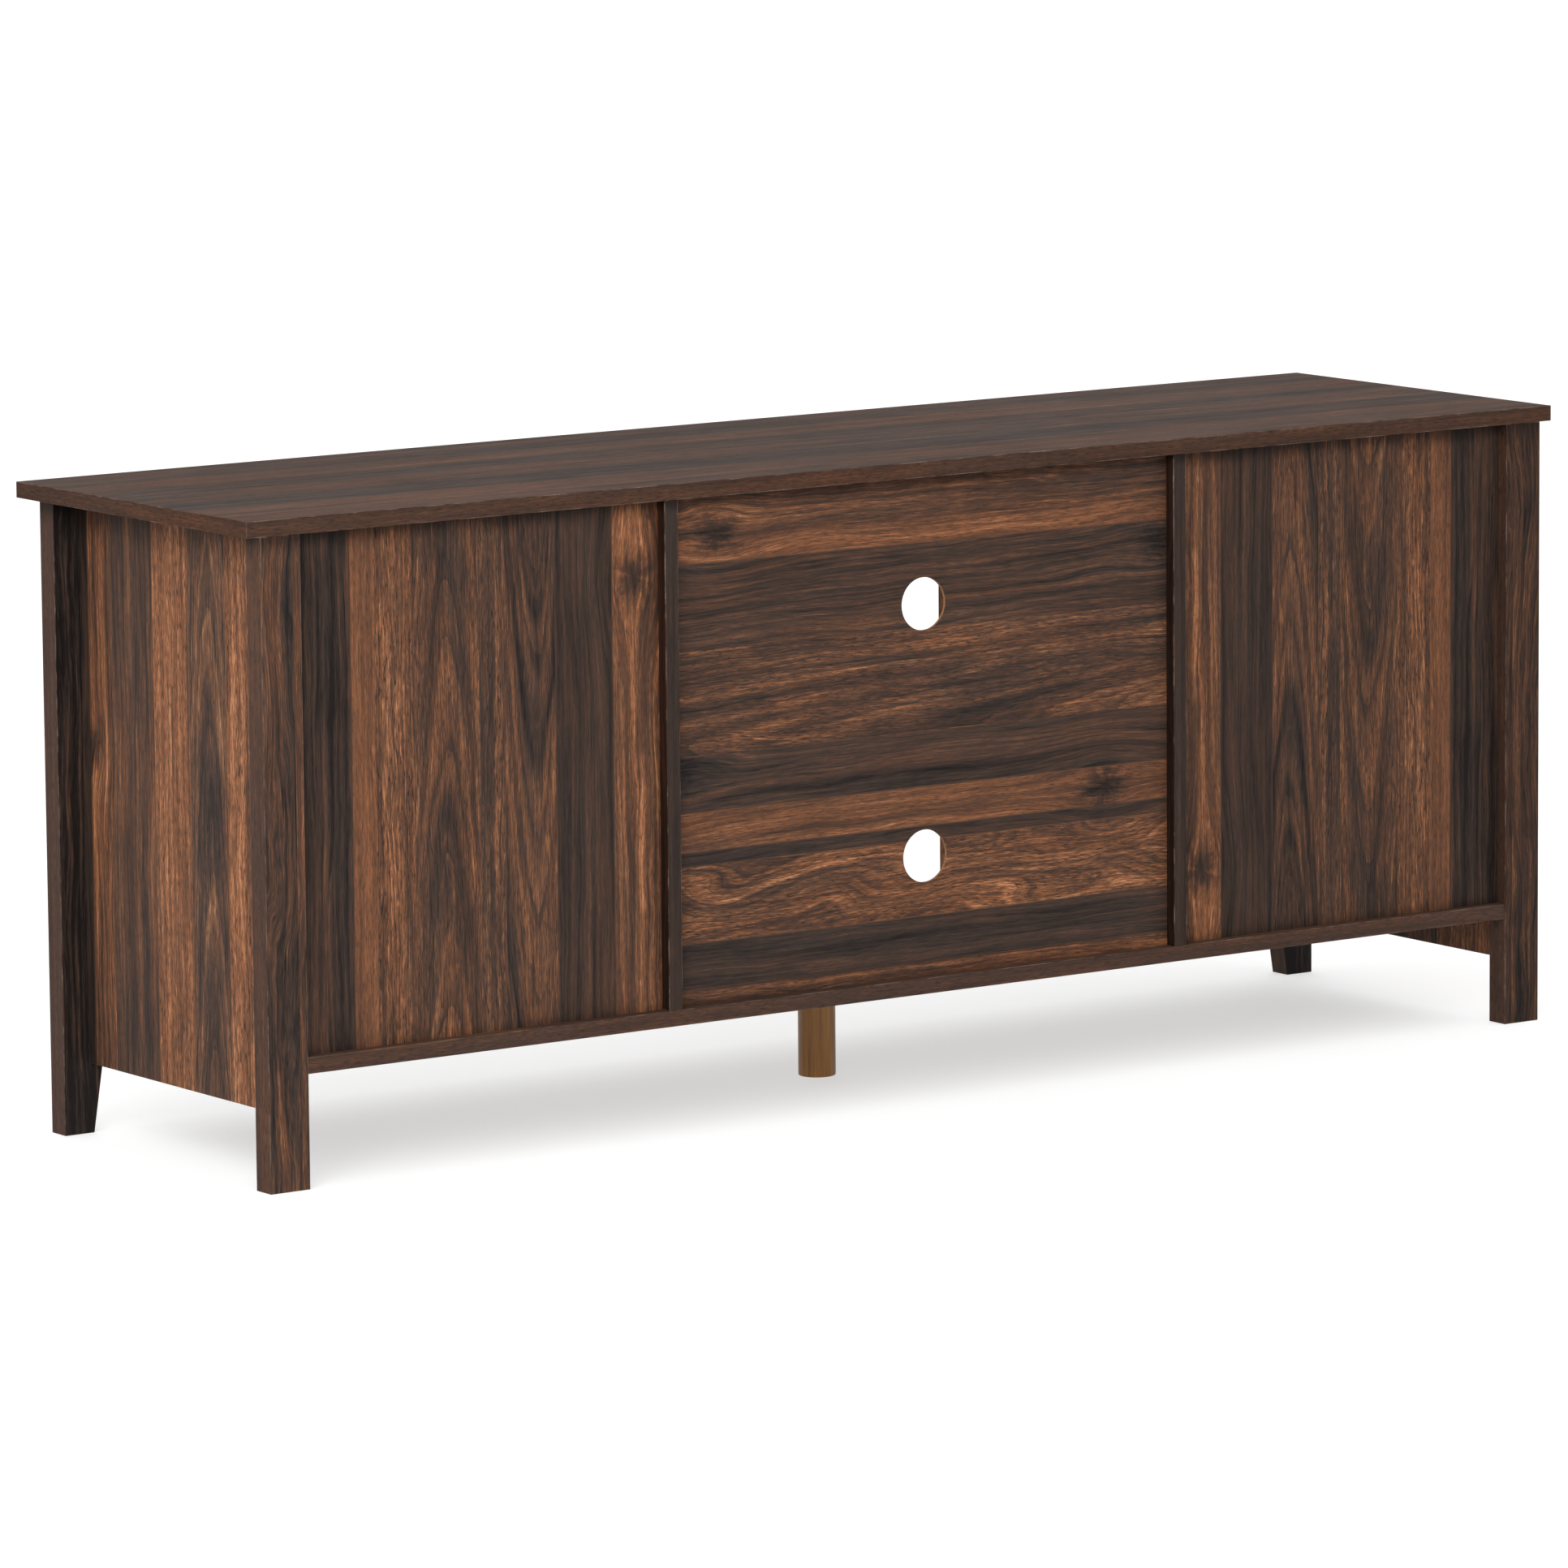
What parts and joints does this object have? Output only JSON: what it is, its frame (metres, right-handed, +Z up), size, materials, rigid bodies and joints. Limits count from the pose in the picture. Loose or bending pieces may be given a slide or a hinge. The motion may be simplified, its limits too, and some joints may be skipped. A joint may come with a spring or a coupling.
{
  "type": "television stand",
  "caption": "Low dark wood-print television stand with hinged-door side cabinets, an open middle bay with a shelf, flat corner legs and a round middle leg.",
  "frame": {"origin": "middle of the footprint, on the floor", "axes": "+Z up, +X to the right of someone who faces the doors, +Y towards the back"},
  "size_m": [1.5, 0.408, 0.608],
  "materials": {
    "top_board": "dark walnut print laminate, greyer on the top face, satin",
    "carcass_board": "dark walnut print laminate with charcoal and reddish bands, satin",
    "back_board": "walnut print on thin hardboard, charcoal and tan bands, satin",
    "leg_board": "dark walnut print laminate with fine lengthwise grain, satin",
    "door_board": "dark walnut print laminate, vertical grain, satin",
    "golden_wood": "golden brown stained solid wood, clear satin lacquer",
    "black_metal": "black powder coat, fine satin texture",
    "hinge_steel": "black plated steel, satin",
    "bright_steel": "zinc plated steel, satin",
    "catch_plastic": "dark brown moulded plastic, matte"
  },
  "bodies": {
    "carcass": {"top_panel": "top_board", "bottom_panel": "carcass_board", "centre_shelf": "carcass_board", "back_panel_centre": "back_board", "centre_leg": "golden_wood", "centre_leg_bolt": "bright_steel", "side_panel_left": "carcass_board", "partition_left": "carcass_board", "back_panel_left": "back_board", "leg_front_left": "leg_board", "leg_back_left": "leg_board", "shelf_left": "carcass_board", "shelf_pin_left_front_inner": "bright_steel", "shelf_pin_left_front_outer": "bright_steel", "shelf_pin_left_back_inner": "bright_steel", "shelf_pin_left_back_outer": "bright_steel", "hinge_frame_leaf_left_lower": "hinge_steel", "hinge_pin_left_lower": "hinge_steel", "hinge_frame_leaf_left_upper": "hinge_steel", "hinge_pin_left_upper": "hinge_steel", "magnet_catch_left": "catch_plastic", "side_panel_right": "carcass_board", "partition_right": "carcass_board", "back_panel_right": "back_board", "leg_front_right": "leg_board", "leg_back_right": "leg_board", "shelf_right": "carcass_board", "shelf_pin_right_front_inner": "bright_steel", "shelf_pin_right_front_outer": "bright_steel", "shelf_pin_right_back_inner": "bright_steel", "shelf_pin_right_back_outer": "bright_steel", "hinge_frame_leaf_right_lower": "hinge_steel", "hinge_pin_right_lower": "hinge_steel", "hinge_frame_leaf_right_upper": "hinge_steel", "hinge_pin_right_upper": "hinge_steel", "magnet_catch_right": "catch_plastic"},
    "door_left": {"hinge_door_leaf_left_lower": "hinge_steel", "handle_screw_left_lower": "bright_steel", "hinge_door_leaf_left_upper": "hinge_steel", "handle_screw_left_upper": "bright_steel", "strike_plate_left": "bright_steel", "handle_left": "black_metal", "door_left": "door_board"},
    "door_right": {"hinge_door_leaf_right_lower": "hinge_steel", "handle_screw_right_lower": "bright_steel", "hinge_door_leaf_right_upper": "hinge_steel", "handle_screw_right_upper": "bright_steel", "strike_plate_right": "bright_steel", "handle_right": "black_metal", "door_right": "door_board"}
  },
  "joints": [
    {"name": "door_left_hinge", "type": "hinge", "parent": "carcass", "child": "door_left", "pos_m": [-0.6928, -0.181, 0.3565], "axis": [0, 0, -1], "range_deg": [0, 110]},
    {"name": "door_right_hinge", "type": "hinge", "parent": "carcass", "child": "door_right", "pos_m": [0.6928, -0.181, 0.3565], "axis": [0, 0, 1], "range_deg": [0, 110]}
  ]
}
